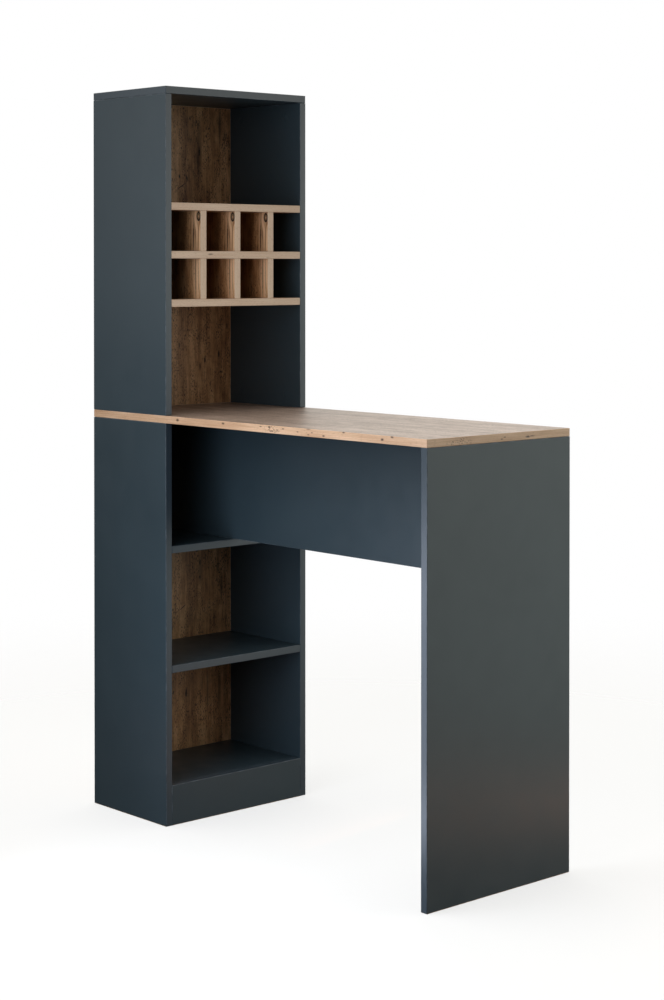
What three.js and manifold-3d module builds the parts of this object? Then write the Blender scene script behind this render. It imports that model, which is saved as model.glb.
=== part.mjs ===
// Bar counter with shelves, a knock-down piece of bar furniture in 18 mm melamine-faced board.
// A tall open cabinet stands at one end. A worktop runs right through the cabinet and out to an
// end panel, and an apron panel under its middle line stiffens it. The upper cabinet holds a
// bottle rack of small cells. Dowels locate the boards, and cam fittings pull them together.
//
// Millimetres, +Z up. The origin is on the floor under the middle of the counter. +X runs from
// the cabinet to the end panel, so the shelves open towards +X. Left is -Y and right is +Y, as
// seen by someone who faces the open shelves.

import * as THREE from "three";
import { mergeVertices } from "three/addons/utils/BufferGeometryUtils.js";
import Module from "manifold-3d";

const wasm = await Module();
wasm.setup();

// Driving dimensions of the furniture
const COUNTER_LENGTH = 1200;
const COUNTER_WIDTH = 450;
const COUNTER_HEIGHT = 1000;
const CABINET_HEIGHT = 1800;
const CABINET_DEPTH = 300;
const BOARD = 18;
const APRON_HEIGHT = 300;
const PLINTH_HEIGHT = 98;
const RACK_ROWS = 2;
const RACK_CELLS = 4;
const CELL_HEIGHT = 100;

// Driving dimensions of the dowels, cams and bolts
const CLEARANCE = 0.3;
const DOWEL_RADIUS = 4;
const DOWEL_REACH = 10;
const DOWEL_ROOT = 2;
const DOWEL_SIDES = 8;
const CAM_RADIUS = 7.2;
const CAM_DEPTH = 12.5;
const CAM_SETBACK = 34;
const CAM_SIDES = 12;
const RECESS_LENGTH = 8;
const RECESS_WIDTH = 1.6;
const RECESS_DEPTH = 2.5;
const BOLT_RADIUS = 3.5;
const BOLT_HOLE_RADIUS = 4;
const BOLT_SIDES = 8;
const BOLT_PAST_CAM = 3;
const HEAD_LENGTH = 4;
const NECK_RADIUS = 2;
const NECK_LENGTH = 5;
const THREAD_RADIUS = 2.5;
const THREAD_REACH = 11;

// Where dowels and fittings sit along a joint, measured from the cabinet's rear or the joint's ends
const FITTING_REAR = 60;
const FITTING_FRONT = 240;
const DOWEL_REAR = 70;
const DOWEL_FRONT = 230;
const UPPER_ROW_SHIFT = 25;
const END_FITTING_INSET = 100;
const APRON_FITTING_INSET = 60;
const BACK_DOWEL_INSET = 100;
const LOWER_BACK_INSET = 125;
const UPPER_BACK_INSET = 90;
const APRON_DOWELS = 4;

// Planes that the boards lie on
const REAR = -COUNTER_LENGTH / 2;
const END = COUNTER_LENGTH / 2;
const LEFT = -COUNTER_WIDTH / 2;
const RIGHT = COUNTER_WIDTH / 2;
const CABINET_FRONT = REAR + CABINET_DEPTH;
const INNER_REAR = REAR + BOARD;
const INNER_END = END - BOARD;
const INNER_LEFT = LEFT + BOARD;
const INNER_RIGHT = RIGHT - BOARD;
const WORKTOP_UNDER = COUNTER_HEIGHT - BOARD;
const TOP_UNDER = CABINET_HEIGHT - BOARD;
const APRON_FOOT = WORKTOP_UNDER - APRON_HEIGHT;
const FIXED_SHELF_UNDER = APRON_FOOT - BOARD;
const BOTTOM_UNDER = PLINTH_HEIGHT - BOARD;
const MIDDLE_SHELF_UNDER = (PLINTH_HEIGHT + FIXED_SHELF_UNDER - BOARD) / 2;
const RACK_HEIGHT = RACK_ROWS * CELL_HEIGHT + (RACK_ROWS + 1) * BOARD;
const RACK_FOOT = (COUNTER_HEIGHT + TOP_UNDER - RACK_HEIGHT) / 2;
const CELL_PITCH = (INNER_RIGHT - INNER_LEFT + BOARD) / RACK_CELLS;

// Directions
const FORWARD = new THREE.Vector3(1, 0, 0);
const REARWARD = new THREE.Vector3(-1, 0, 0);
const TO_RIGHT = new THREE.Vector3(0, 1, 0);
const TO_LEFT = new THREE.Vector3(0, -1, 0);
const UP = new THREE.Vector3(0, 0, 1);
const DOWN = new THREE.Vector3(0, 0, -1);
const LATHE_AXIS = new THREE.Vector3(0, 1, 0);

// Finishes: each mesh gets its own copy
const anthracite = () =>
  new THREE.MeshStandardMaterial({ color: 0x434b52, roughness: 0.45, metalness: 0 });
const oak = () =>
  new THREE.MeshStandardMaterial({ color: 0xb59a80, roughness: 0.55, metalness: 0 });
const zinc = () =>
  new THREE.MeshStandardMaterial({ color: 0x8f9398, roughness: 0.4, metalness: 1 });
const steel = () =>
  new THREE.MeshStandardMaterial({ color: 0xb8bbbf, roughness: 0.35, metalness: 1 });

// A closed solid, ready to be cut or joined, from a three.js geometry.
function solidOf(geometry) {
  geometry.deleteAttribute("normal");
  geometry.deleteAttribute("uv");
  const merged = mergeVertices(geometry);
  const mesh = new wasm.Mesh({
    numProp: 3,
    vertProperties: new Float32Array(merged.attributes.position.array),
    triVerts: new Uint32Array(merged.index.array),
  });
  return new wasm.Manifold(mesh);
}

// The flat-shaded three.js geometry of a solid.
function geometryOf(solid) {
  const { vertProperties, triVerts } = solid.getMesh();
  const shared = new THREE.BufferGeometry();
  shared.setAttribute("position", new THREE.BufferAttribute(vertProperties, 3));
  shared.setIndex(new THREE.BufferAttribute(triVerts, 1));
  const flat = shared.toNonIndexed();
  flat.computeVertexNormals();
  return flat;
}

// A round rod that starts at a point and runs along a direction.
function rod(radius, length, sides, start, direction) {
  const turn = new THREE.Quaternion().setFromUnitVectors(LATHE_AXIS, direction);
  return new THREE.CylinderGeometry(radius, radius, length, sides)
    .translate(0, length / 2, 0)
    .applyQuaternion(turn)
    .translate(start.x, start.y, start.z);
}

// A point moved some way along a direction.
function along(point, direction, distance) {
  return point.clone().addScaledVector(direction, distance);
}

const counter = new THREE.Group();
const lowerCabinet = new THREE.Group();
const upperCabinet = new THREE.Group();
const bottleRack = new THREE.Group();
const fittings = new THREE.Group();
const boards = new Map();

// Notes down one board by its two corners. Its pegs and holes are added by the joints below.
function board(group, name, finish, low, high) {
  const corners = { low: new THREE.Vector3(...low), high: new THREE.Vector3(...high) };
  boards.set(name, { group, finish, ...corners, pegs: [], holes: [] });
}

// Lower cabinet: two sides on the floor, a bottom behind a plinth, two shelves and a back
const LOWER_SHELVES = [
  ["middle_shelf", MIDDLE_SHELF_UNDER],
  ["fixed_shelf", FIXED_SHELF_UNDER],
];
board(
  lowerCabinet,
  "left_lower_side",
  anthracite,
  [REAR, LEFT, 0],
  [CABINET_FRONT, INNER_LEFT, WORKTOP_UNDER],
);
board(
  lowerCabinet,
  "right_lower_side",
  anthracite,
  [REAR, INNER_RIGHT, 0],
  [CABINET_FRONT, RIGHT, WORKTOP_UNDER],
);
board(
  lowerCabinet,
  "plinth",
  anthracite,
  [CABINET_FRONT - BOARD, INNER_LEFT, 0],
  [CABINET_FRONT, INNER_RIGHT, PLINTH_HEIGHT],
);
board(
  lowerCabinet,
  "bottom_panel",
  anthracite,
  [INNER_REAR, INNER_LEFT, BOTTOM_UNDER],
  [CABINET_FRONT - BOARD, INNER_RIGHT, PLINTH_HEIGHT],
);
for (const [name, under] of LOWER_SHELVES) {
  board(
    lowerCabinet,
    name,
    anthracite,
    [INNER_REAR, INNER_LEFT, under],
    [CABINET_FRONT, INNER_RIGHT, under + BOARD],
  );
}
board(
  lowerCabinet,
  "lower_back_panel",
  oak,
  [REAR, INNER_LEFT, 0],
  [INNER_REAR, INNER_RIGHT, WORKTOP_UNDER],
);

// Counter: the worktop over the lower cabinet, the end panel, and the apron between them
board(counter, "worktop", oak, [REAR, LEFT, WORKTOP_UNDER], [END, RIGHT, COUNTER_HEIGHT]);
board(counter, "end_panel", anthracite, [INNER_END, LEFT, 0], [END, RIGHT, WORKTOP_UNDER]);
board(
  counter,
  "apron_panel",
  anthracite,
  [INNER_REAR, -BOARD / 2, APRON_FOOT],
  [INNER_END, BOARD / 2, WORKTOP_UNDER],
);

// Upper cabinet: two sides standing on the worktop, a back between them and a top over them
board(
  upperCabinet,
  "left_upper_side",
  anthracite,
  [REAR, LEFT, COUNTER_HEIGHT],
  [CABINET_FRONT, INNER_LEFT, TOP_UNDER],
);
board(
  upperCabinet,
  "right_upper_side",
  anthracite,
  [REAR, INNER_RIGHT, COUNTER_HEIGHT],
  [CABINET_FRONT, RIGHT, TOP_UNDER],
);
board(
  upperCabinet,
  "upper_back_panel",
  oak,
  [REAR, INNER_LEFT, COUNTER_HEIGHT],
  [INNER_REAR, INNER_RIGHT, TOP_UNDER],
);
board(
  upperCabinet,
  "top_panel",
  anthracite,
  [REAR, LEFT, TOP_UNDER],
  [CABINET_FRONT, RIGHT, CABINET_HEIGHT],
);

// Bottle rack: boards across the upper cabinet, with short dividers between them
const RACK_BOARDS = ["rack_board_lower", "rack_board_middle", "rack_board_upper"];
const RACK_ROW_NAMES = ["lower", "upper"];
RACK_BOARDS.forEach((name, level) => {
  const under = RACK_FOOT + level * (CELL_HEIGHT + BOARD);
  board(
    bottleRack,
    name,
    oak,
    [INNER_REAR, INNER_LEFT, under],
    [CABINET_FRONT, INNER_RIGHT, under + BOARD],
  );
});
RACK_ROW_NAMES.forEach((row, level) => {
  const foot = boards.get(RACK_BOARDS[level]).high.z;
  for (let place = 1; place < RACK_CELLS; place += 1) {
    const right = INNER_LEFT + place * CELL_PITCH;
    board(
      bottleRack,
      `rack_divider_${row}_${place}`,
      oak,
      [INNER_REAR, right - BOARD, foot],
      [CABINET_FRONT, right, foot + CELL_HEIGHT],
    );
  }
});

// A dowel glued into one board, and the blind hole that takes it in the next. The point lies on
// the face where the two boards meet, and the direction runs into the second board.
function dowel(from, into, x, y, z, direction) {
  const meeting = new THREE.Vector3(x, y, z);
  const root = along(meeting, direction, -DOWEL_ROOT);
  const peg = rod(DOWEL_RADIUS, DOWEL_ROOT + DOWEL_REACH, DOWEL_SIDES, root, direction);
  const holeLength = DOWEL_ROOT + DOWEL_REACH + CLEARANCE;
  const hole = rod(DOWEL_RADIUS + CLEARANCE, holeLength, DOWEL_SIDES, root, direction);
  boards.get(from).pegs.push(peg);
  boards.get(into).holes.push(hole);
}

// Dowels from both ends of a board into the two sides of its cabinet.
function dowelToSides(name, part, x, z) {
  dowel(name, `left_${part}_side`, x, INNER_LEFT, z, TO_LEFT);
  dowel(name, `right_${part}_side`, x, INNER_RIGHT, z, TO_RIGHT);
}

// The height of the middle of a board's thickness, for boards that lie flat.
function middleHeight(name) {
  const { low, high } = boards.get(name);
  return (low.z + high.z) / 2;
}

// Dowels of the lower cabinet
for (const name of ["bottom_panel", "middle_shelf"]) {
  for (const distance of [DOWEL_REAR, DOWEL_FRONT]) {
    dowelToSides(name, "lower", REAR + distance, middleHeight(name));
  }
}
dowelToSides("plinth", "lower", CABINET_FRONT - BOARD / 2, PLINTH_HEIGHT / 2);
for (const y of [LEFT + LOWER_BACK_INSET, RIGHT - LOWER_BACK_INSET]) {
  dowel("bottom_panel", "plinth", CABINET_FRONT - BOARD, y, middleHeight("bottom_panel"), FORWARD);
  dowel("bottom_panel", "lower_back_panel", INNER_REAR, y, middleHeight("bottom_panel"), REARWARD);
  dowel("lower_back_panel", "worktop", REAR + BOARD / 2, y, WORKTOP_UNDER, UP);
}
for (const z of [2 * BACK_DOWEL_INSET, WORKTOP_UNDER / 2, WORKTOP_UNDER - BACK_DOWEL_INSET]) {
  dowelToSides("lower_back_panel", "lower", REAR + BOARD / 2, z);
}

// Dowels of the apron: up into the worktop, down into the fixed shelf and back into the back
for (let place = 0; place < APRON_DOWELS; place += 1) {
  const spacing = COUNTER_LENGTH / APRON_DOWELS;
  dowel("apron_panel", "worktop", REAR + spacing * (place + 0.5), 0, WORKTOP_UNDER, UP);
}
for (const distance of [DOWEL_REAR, DOWEL_FRONT]) {
  dowel("apron_panel", "fixed_shelf", REAR + distance, 0, APRON_FOOT, DOWN);
}
for (const z of [APRON_FOOT + APRON_FITTING_INSET, WORKTOP_UNDER - APRON_FITTING_INSET]) {
  dowel("apron_panel", "lower_back_panel", INNER_REAR, 0, z, REARWARD);
}

// Dowels of the upper cabinet
for (const y of [LEFT + UPPER_BACK_INSET, RIGHT - UPPER_BACK_INSET]) {
  dowel("upper_back_panel", "worktop", REAR + BOARD / 2, y, COUNTER_HEIGHT, DOWN);
  dowel("upper_back_panel", "top_panel", REAR + BOARD / 2, y, TOP_UNDER, UP);
}
const UPPER_BACK_MIDDLE = (COUNTER_HEIGHT + TOP_UNDER) / 2;
for (const z of [COUNTER_HEIGHT + BACK_DOWEL_INSET, UPPER_BACK_MIDDLE, TOP_UNDER - BACK_DOWEL_INSET]) {
  dowelToSides("upper_back_panel", "upper", REAR + BOARD / 2, z);
}

// Dowels of the bottle rack. The two rows are shifted, so that their holes in the middle board miss.
for (const name of RACK_BOARDS) {
  for (const distance of [DOWEL_REAR, DOWEL_FRONT]) {
    dowelToSides(name, "upper", REAR + distance, middleHeight(name));
  }
}
RACK_ROW_NAMES.forEach((row, level) => {
  for (let place = 1; place < RACK_CELLS; place += 1) {
    const name = `rack_divider_${row}_${place}`;
    const { low, high } = boards.get(name);
    const y = (low.y + high.y) / 2;
    for (const distance of [DOWEL_REAR, DOWEL_FRONT]) {
      const x = REAR + distance + level * UPPER_ROW_SHIFT;
      dowel(name, RACK_BOARDS[level], x, y, low.z, DOWN);
      dowel(name, RACK_BOARDS[level + 1], x, y, high.z, UP);
    }
  }
});

// The cam: a die-cast drum with a driver recess in its face and a pocket that grips the bolt's
// head. Its face is at z = 0, its body lies below, and the bolt comes in along +X.
function makeCam() {
  const drum = new THREE.CylinderGeometry(CAM_RADIUS, CAM_RADIUS, CAM_DEPTH, CAM_SIDES)
    .rotateX(Math.PI / 2)
    .translate(0, 0, -CAM_DEPTH / 2);
  const pocketEnd = -BOLT_PAST_CAM - CLEARANCE;
  const pocketLength = 2 * CAM_RADIUS;
  const pocketWidth = 2 * (BOLT_RADIUS + CLEARANCE);
  const pocketRoof = BOLT_RADIUS + CLEARANCE - BOARD / 2;
  const pocket = new THREE.BoxGeometry(pocketLength, pocketWidth, CAM_DEPTH).translate(
    pocketEnd + pocketLength / 2,
    0,
    pocketRoof - CAM_DEPTH / 2,
  );
  const recess = new THREE.BoxGeometry(RECESS_LENGTH, RECESS_WIDTH, 2 * RECESS_DEPTH);
  const crossRecess = new THREE.BoxGeometry(RECESS_WIDTH, RECESS_LENGTH, 2 * RECESS_DEPTH);
  return geometryOf(
    solidOf(drum).subtract(solidOf(pocket)).subtract(solidOf(recess)).subtract(solidOf(crossRecess)),
  );
}

// The neck and head at the end of a bolt, as a lathe profile from the shank outwards.
function boltHeadProfile(seatToCam) {
  const end = seatToCam + BOLT_PAST_CAM;
  return [
    new THREE.Vector2(BOLT_RADIUS, end - HEAD_LENGTH - NECK_LENGTH),
    new THREE.Vector2(NECK_RADIUS, end - HEAD_LENGTH - NECK_LENGTH),
    new THREE.Vector2(NECK_RADIUS, end - HEAD_LENGTH),
    new THREE.Vector2(BOLT_RADIUS, end - HEAD_LENGTH),
    new THREE.Vector2(BOLT_RADIUS, end),
    new THREE.Vector2(0, end),
  ];
}

// The cam bolt: a threaded foot that is screwed into one board, then a shank, a neck and a head.
// It stands on y = 0, the face of the board that it is screwed into.
function makeCamBolt() {
  const foot = [
    new THREE.Vector2(0, -THREAD_REACH),
    new THREE.Vector2(THREAD_RADIUS, -THREAD_REACH),
    new THREE.Vector2(THREAD_RADIUS, CLEARANCE),
    new THREE.Vector2(BOLT_RADIUS, CLEARANCE),
  ];
  return new THREE.LatheGeometry([...foot, ...boltHeadProfile(CAM_SETBACK)], BOLT_SIDES);
}

// The double-ended bolt: a head at both ends, for two boards with the worktop between them.
// Its middle is at y = 0.
function makeDoubleBolt() {
  const upperHalf = boltHeadProfile(CAM_SETBACK + BOARD / 2);
  const lowerHalf = upperHalf.map((point) => new THREE.Vector2(point.x, -point.y)).reverse();
  return new THREE.LatheGeometry([...lowerHalf, ...upperHalf], BOLT_SIDES);
}

const camGeometry = makeCam();
const camBoltGeometry = makeCamBolt();
const doubleBoltGeometry = makeDoubleBolt();

// Lets a cam into a board. The seat is where the bolt enters the board's edge, at mid-thickness,
// and the cam shows on the face whose outward normal is given.
function letInCam(name, boardName, seat, boltDirection, faceNormal) {
  const pocket = along(seat, boltDirection, CAM_SETBACK);
  const face = along(pocket, faceNormal, BOARD / 2);
  const outside = along(face, faceNormal, CLEARANCE);
  const boreLength = CAM_DEPTH + 2 * CLEARANCE;
  const inward = faceNormal.clone().negate();
  const bore = rod(CAM_RADIUS + CLEARANCE, boreLength, CAM_SIDES, outside, inward);
  const mouth = along(seat, boltDirection, -CLEARANCE);
  const boltHole = rod(BOLT_HOLE_RADIUS, CAM_SETBACK, BOLT_SIDES, mouth, boltDirection);
  boards.get(boardName).holes.push(bore, boltHole);

  const cam = new THREE.Mesh(camGeometry.clone(), zinc());
  const towardsBolt = boltDirection.clone().negate();
  const across = new THREE.Vector3().crossVectors(faceNormal, towardsBolt);
  const turn = new THREE.Matrix4().makeBasis(towardsBolt, across, faceNormal);
  cam.name = name;
  cam.position.copy(face);
  cam.quaternion.setFromRotationMatrix(turn);
  fittings.add(cam);
}

// Puts a bolt at a point, with its length along a direction.
function placeBolt(name, geometry, point, direction) {
  const bolt = new THREE.Mesh(geometry.clone(), steel());
  bolt.name = name;
  bolt.position.copy(point);
  bolt.quaternion.setFromUnitVectors(LATHE_AXIS, direction);
  fittings.add(bolt);
}

// A whole cam fitting: the bolt screwed into one board, and the cam let into the next.
function camFitting(place, seatBoard, camBoard, seat, boltDirection, faceNormal) {
  const threadHole = rod(
    THREAD_RADIUS + CLEARANCE,
    THREAD_REACH + 2 * CLEARANCE,
    BOLT_SIDES,
    along(seat, boltDirection, CLEARANCE),
    boltDirection.clone().negate(),
  );
  boards.get(seatBoard).holes.push(threadHole);
  placeBolt(`${place}_bolt`, camBoltGeometry, seat, boltDirection);
  letInCam(`${place}_cam`, camBoard, seat, boltDirection, faceNormal);
}

// Fittings at the cabinet's two sides: through the worktop, under the top and at the fixed shelf
const SIDES = [
  ["left", LEFT + BOARD / 2, INNER_LEFT, TO_RIGHT],
  ["right", RIGHT - BOARD / 2, INNER_RIGHT, TO_LEFT],
];
const FITTING_PLACES = [
  ["rear", REAR + FITTING_REAR],
  ["front", REAR + FITTING_FRONT],
];
for (const [side, middle, innerFace, inward] of SIDES) {
  for (const [place, x] of FITTING_PLACES) {
    const worktopMiddle = new THREE.Vector3(x, middle, COUNTER_HEIGHT - BOARD / 2);
    const under = along(worktopMiddle, DOWN, BOARD / 2);
    const over = along(worktopMiddle, UP, BOARD / 2);
    const drillStart = along(under, DOWN, CLEARANCE);
    const throughHole = rod(BOLT_HOLE_RADIUS, BOARD + 2 * CLEARANCE, BOLT_SIDES, drillStart, UP);
    boards.get("worktop").holes.push(throughHole);
    placeBolt(`worktop_${side}_${place}_bolt`, doubleBoltGeometry, worktopMiddle, UP);
    letInCam(`worktop_${side}_${place}_lower_cam`, `${side}_lower_side`, under, DOWN, inward);
    letInCam(`worktop_${side}_${place}_upper_cam`, `${side}_upper_side`, over, UP, inward);

    const topSeat = new THREE.Vector3(x, middle, TOP_UNDER);
    camFitting(`top_${side}_${place}`, "top_panel", `${side}_upper_side`, topSeat, DOWN, inward);

    const shelfSeat = new THREE.Vector3(x, innerFace, middleHeight("fixed_shelf"));
    camFitting(`shelf_${side}_${place}`, `${side}_lower_side`, "fixed_shelf", shelfSeat, inward, DOWN);
  }
}

// Fittings at the end panel: up into the worktop, and in from the apron
const END_PLACES = [
  ["left", LEFT + END_FITTING_INSET],
  ["right", RIGHT - END_FITTING_INSET],
];
for (const [side, y] of END_PLACES) {
  const seat = new THREE.Vector3(END - BOARD / 2, y, WORKTOP_UNDER);
  camFitting(`end_${side}`, "worktop", "end_panel", seat, DOWN, REARWARD);
}
const APRON_PLACES = [
  ["lower", APRON_FOOT + APRON_FITTING_INSET],
  ["upper", WORKTOP_UNDER - APRON_FITTING_INSET],
];
for (const [level, z] of APRON_PLACES) {
  const seat = new THREE.Vector3(INNER_END, 0, z);
  camFitting(`apron_${level}`, "end_panel", "apron_panel", seat, REARWARD, TO_RIGHT);
}

// Each board is a plain panel with its pegs joined on and its holes drilled out.
for (const [name, { group, finish, low, high, pegs, holes }] of boards) {
  const size = high.clone().sub(low);
  const centre = low.clone().add(high).multiplyScalar(0.5);
  const aboutCentre = (geometry) => solidOf(geometry.translate(-centre.x, -centre.y, -centre.z));
  let solid = solidOf(new THREE.BoxGeometry(size.x, size.y, size.z));
  for (const peg of pegs) {
    solid = solid.add(aboutCentre(peg));
  }
  for (const hole of holes) {
    solid = solid.subtract(aboutCentre(hole));
  }
  const mesh = new THREE.Mesh(geometryOf(solid), finish());
  mesh.name = name;
  mesh.position.copy(centre);
  group.add(mesh);
}

const barCounter = new THREE.Group();
barCounter.add(lowerCabinet, counter, upperCabinet, bottleRack, fittings);

export default barCounter;
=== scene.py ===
import math

import bpy
import numpy as np
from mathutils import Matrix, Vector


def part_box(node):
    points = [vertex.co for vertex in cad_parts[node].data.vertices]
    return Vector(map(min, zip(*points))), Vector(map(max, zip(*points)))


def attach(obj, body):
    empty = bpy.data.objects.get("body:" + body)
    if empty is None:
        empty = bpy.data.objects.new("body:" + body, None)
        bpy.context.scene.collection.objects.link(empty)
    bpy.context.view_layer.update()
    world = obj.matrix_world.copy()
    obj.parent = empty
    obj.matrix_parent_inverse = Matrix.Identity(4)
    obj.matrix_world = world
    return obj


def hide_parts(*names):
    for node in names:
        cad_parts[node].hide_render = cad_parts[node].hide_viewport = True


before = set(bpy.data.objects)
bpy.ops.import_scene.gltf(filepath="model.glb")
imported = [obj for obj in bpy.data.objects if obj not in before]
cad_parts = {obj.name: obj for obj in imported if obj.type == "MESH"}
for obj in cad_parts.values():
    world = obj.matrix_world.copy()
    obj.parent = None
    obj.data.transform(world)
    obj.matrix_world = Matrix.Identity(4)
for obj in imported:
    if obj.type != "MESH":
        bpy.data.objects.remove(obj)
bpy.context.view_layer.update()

# Camera: it stands before the counter's free corner, 1.36 m above the floor, and looks almost level.
# The frame is shifted down, as a view camera's is, so that the uprights stay almost parallel.
CAMERA_PLACE = (3.63662, -3.22538, 1.36306)
CAMERA_TURN = 48.02
CAMERA_DIP = 0.785
CAMERA_LENS = 73.33
CAMERA_SENSOR = 36.0
CAMERA_SHIFT = -0.2059

camera_settings = bpy.data.cameras.new("counter_camera")
camera_settings.sensor_width = CAMERA_SENSOR
camera_settings.lens = CAMERA_LENS
camera_settings.shift_y = CAMERA_SHIFT
camera = bpy.data.objects.new("counter_camera", camera_settings)
camera.location = CAMERA_PLACE
camera.rotation_euler = (math.radians(90.0 - CAMERA_DIP), 0.0, math.radians(CAMERA_TURN))
bpy.context.collection.objects.link(camera)
bpy.context.scene.camera = camera
bpy.context.scene.view_settings.view_transform = "Standard"

# Floor: a plain pale studio floor of matt painted board, which fades out into the white background.
# It only takes the counter's shadow, so the dark boards don't mirror it.
FLOOR_RADIUS = 4.0
FLOOR_LEVEL = -0.5e-3
FLOOR_RINGS = 8
FLOOR_SPOKES = 96
FLOOR_FADE_FROM = 1.3
FLOOR_FADE_TO = 3.4
FLOOR_PALE = 0.68
FLOOR_PAINT = "f4f3f1"


def paint(shade):
    """A colour given as six hex digits of sRGB, turned to the linear values that a shader takes."""
    srgb = np.array([int(shade[i : i + 2], 16) for i in (0, 2, 4)]) / 255.0
    linear = np.where(srgb <= 0.04045, srgb / 12.92, ((srgb + 0.055) / 1.055) ** 2.4)
    return (*linear.tolist(), 1.0)


def add_node(tree, kind, sockets=(), ramp=(), **settings):
    """Add a node: settings are its own properties, each socket gets a value, a node or an output, and a
    colour ramp gets its stops as places and colours."""
    node = tree.nodes.new("ShaderNode" + kind)
    for name, value in settings.items():
        setattr(node, name, value)
    for name, value in dict(sockets).items():
        if isinstance(value, bpy.types.Node):
            value = value.outputs[0]
        if isinstance(value, bpy.types.NodeSocket):
            tree.links.new(value, node.inputs[name])
        else:
            node.inputs[name].default_value = value
    for number, (at, colour) in enumerate(ramp):
        stops = node.color_ramp.elements
        stop = stops[number] if number < 2 else stops.new(at)
        stop.position = at
        stop.color = colour
    return node


def new_material(name):
    """A new material whose node tree is empty, and that tree."""
    material = bpy.data.materials.new(name)
    material.use_nodes = True
    material.node_tree.nodes.clear()
    return material, material.node_tree


def disc_surface(radius, level, rings, spokes):
    """A flat disc at a level: ring i of n is a circle of radius R i / n, and one face closes the middle."""
    reach = np.linspace(radius / rings, radius, rings)
    turn = np.linspace(0.0, 2.0 * np.pi, spokes, endpoint=False)
    points = np.full((rings, spokes, 3), level)
    points[..., 0] = reach[:, None] * np.cos(turn)
    points[..., 1] = reach[:, None] * np.sin(turn)
    ring, spoke = np.meshgrid(np.arange(rings - 1), np.arange(spokes), indexing="ij")
    following = (spoke + 1) % spokes
    corners = [ring * spokes + spoke, (ring + 1) * spokes + spoke]
    corners += [(ring + 1) * spokes + following, ring * spokes + following]
    faces = np.stack(corners, axis=-1).reshape(-1, 4).tolist()
    return points.reshape(-1, 3), faces + [list(range(spokes))]


floor_mesh = bpy.data.meshes.new("studio_floor")
floor_points, floor_faces = disc_surface(FLOOR_RADIUS, FLOOR_LEVEL, FLOOR_RINGS, FLOOR_SPOKES)
floor_mesh.from_pydata(floor_points.tolist(), [], floor_faces)
floor = bpy.data.objects.new("studio_floor", floor_mesh)
bpy.context.collection.objects.link(floor)
floor.visible_glossy = False
floor.visible_diffuse = False

# Matt painted board: no gloss at all, and transparent towards its rim.
floor_paint, tree = new_material("matt_painted_floor")
place = add_node(tree, "TexCoord").outputs["Object"]
reach = add_node(tree, "VectorMath", {0: place}, operation="LENGTH").outputs["Value"]
fade = add_node(
    tree,
    "MapRange",
    {"Value": reach, "From Min": FLOOR_FADE_FROM, "From Max": FLOOR_FADE_TO, "To Min": FLOOR_PALE},
    interpolation_type="SMOOTHSTEP",
)
matt = add_node(tree, "BsdfDiffuse", {"Color": paint(FLOOR_PAINT)})
clear = add_node(tree, "BsdfTransparent")
floor_shader = add_node(tree, "MixShader", {0: fade, 1: matt, 2: clear})
add_node(tree, "OutputMaterial", {"Surface": floor_shader})
floor_mesh.materials.append(floor_paint)

# Studio light: a wide window-like softbox on the left, two on the right beyond the end panel, and small weak
# ones for the apron, the end panel's front edge and the feet. The room round them is dim below, brightest
# about 20 degrees up, and dim on the camera's side. The camera itself sees a white background.
ROOM_STOPS = (
    (-0.34, "14110f"),
    (-0.20, "241f1b"),
    (-0.07, "71706c"),
    (0.10, "86847e"),
    (0.40, "faf8f2"),
    (1.00, "bfbfbd"),
)
ROOM_LOWEST = -0.4
ROOM_BRIGHT_SIDE = (0.743, 0.669, 0.0)
ROOM_LEAN = 0.19
ROOM_LIFT = 0.03
ROOM_STRENGTH = 2.0
ROOM_DIM_SIDE = (0.9, -0.436, 0.0)
ROOM_DIM = 0.15
ROOM_DIM_FROM = -0.2
ROOM_DIM_FULL = 0.6

world = bpy.data.worlds.new("studio_room")
world.use_nodes = True
tree = world.node_tree
tree.nodes.clear()
direction = add_node(tree, "TexCoord").outputs["Generated"]
height = add_node(tree, "SeparateXYZ", {0: direction}).outputs["Z"]
lean = add_node(tree, "VectorMath", {0: direction, 1: ROOM_BRIGHT_SIDE}, operation="DOT_PRODUCT")
height = add_node(
    tree, "Math", {0: lean.outputs["Value"], 1: ROOM_LEAN, 2: height}, operation="MULTIPLY_ADD"
)
climb = add_node(
    tree, "MapRange", {"Value": height, "From Min": ROOM_LOWEST - ROOM_LIFT, "From Max": 1.0 - ROOM_LIFT}
)
room_ramp = [
    ((at - ROOM_LOWEST) / (1.0 - ROOM_LOWEST), paint(colour)) for at, colour in ROOM_STOPS
]
walls = add_node(tree, "ValToRGB", {"Fac": climb}, ramp=room_ramp)
behind = add_node(tree, "VectorMath", {0: direction, 1: ROOM_DIM_SIDE}, operation="DOT_PRODUCT")
glow = add_node(
    tree,
    "MapRange",
    {
        "Value": behind.outputs["Value"],
        "From Min": ROOM_DIM_FROM,
        "From Max": ROOM_DIM_FULL,
        "To Min": ROOM_STRENGTH,
        "To Max": ROOM_DIM * ROOM_STRENGTH,
    },
    interpolation_type="SMOOTHSTEP",
)
room = add_node(tree, "Background", {"Color": walls, "Strength": glow})
backdrop = add_node(tree, "Background", {"Color": (1.0, 1.0, 1.0, 1.0), "Strength": 1.0})
seen = add_node(tree, "LightPath").outputs["Is Camera Ray"]
surroundings = add_node(tree, "MixShader", {0: seen, 1: room, 2: backdrop})
add_node(tree, "OutputWorld", {"Surface": surroundings})
bpy.context.scene.world = world


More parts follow.
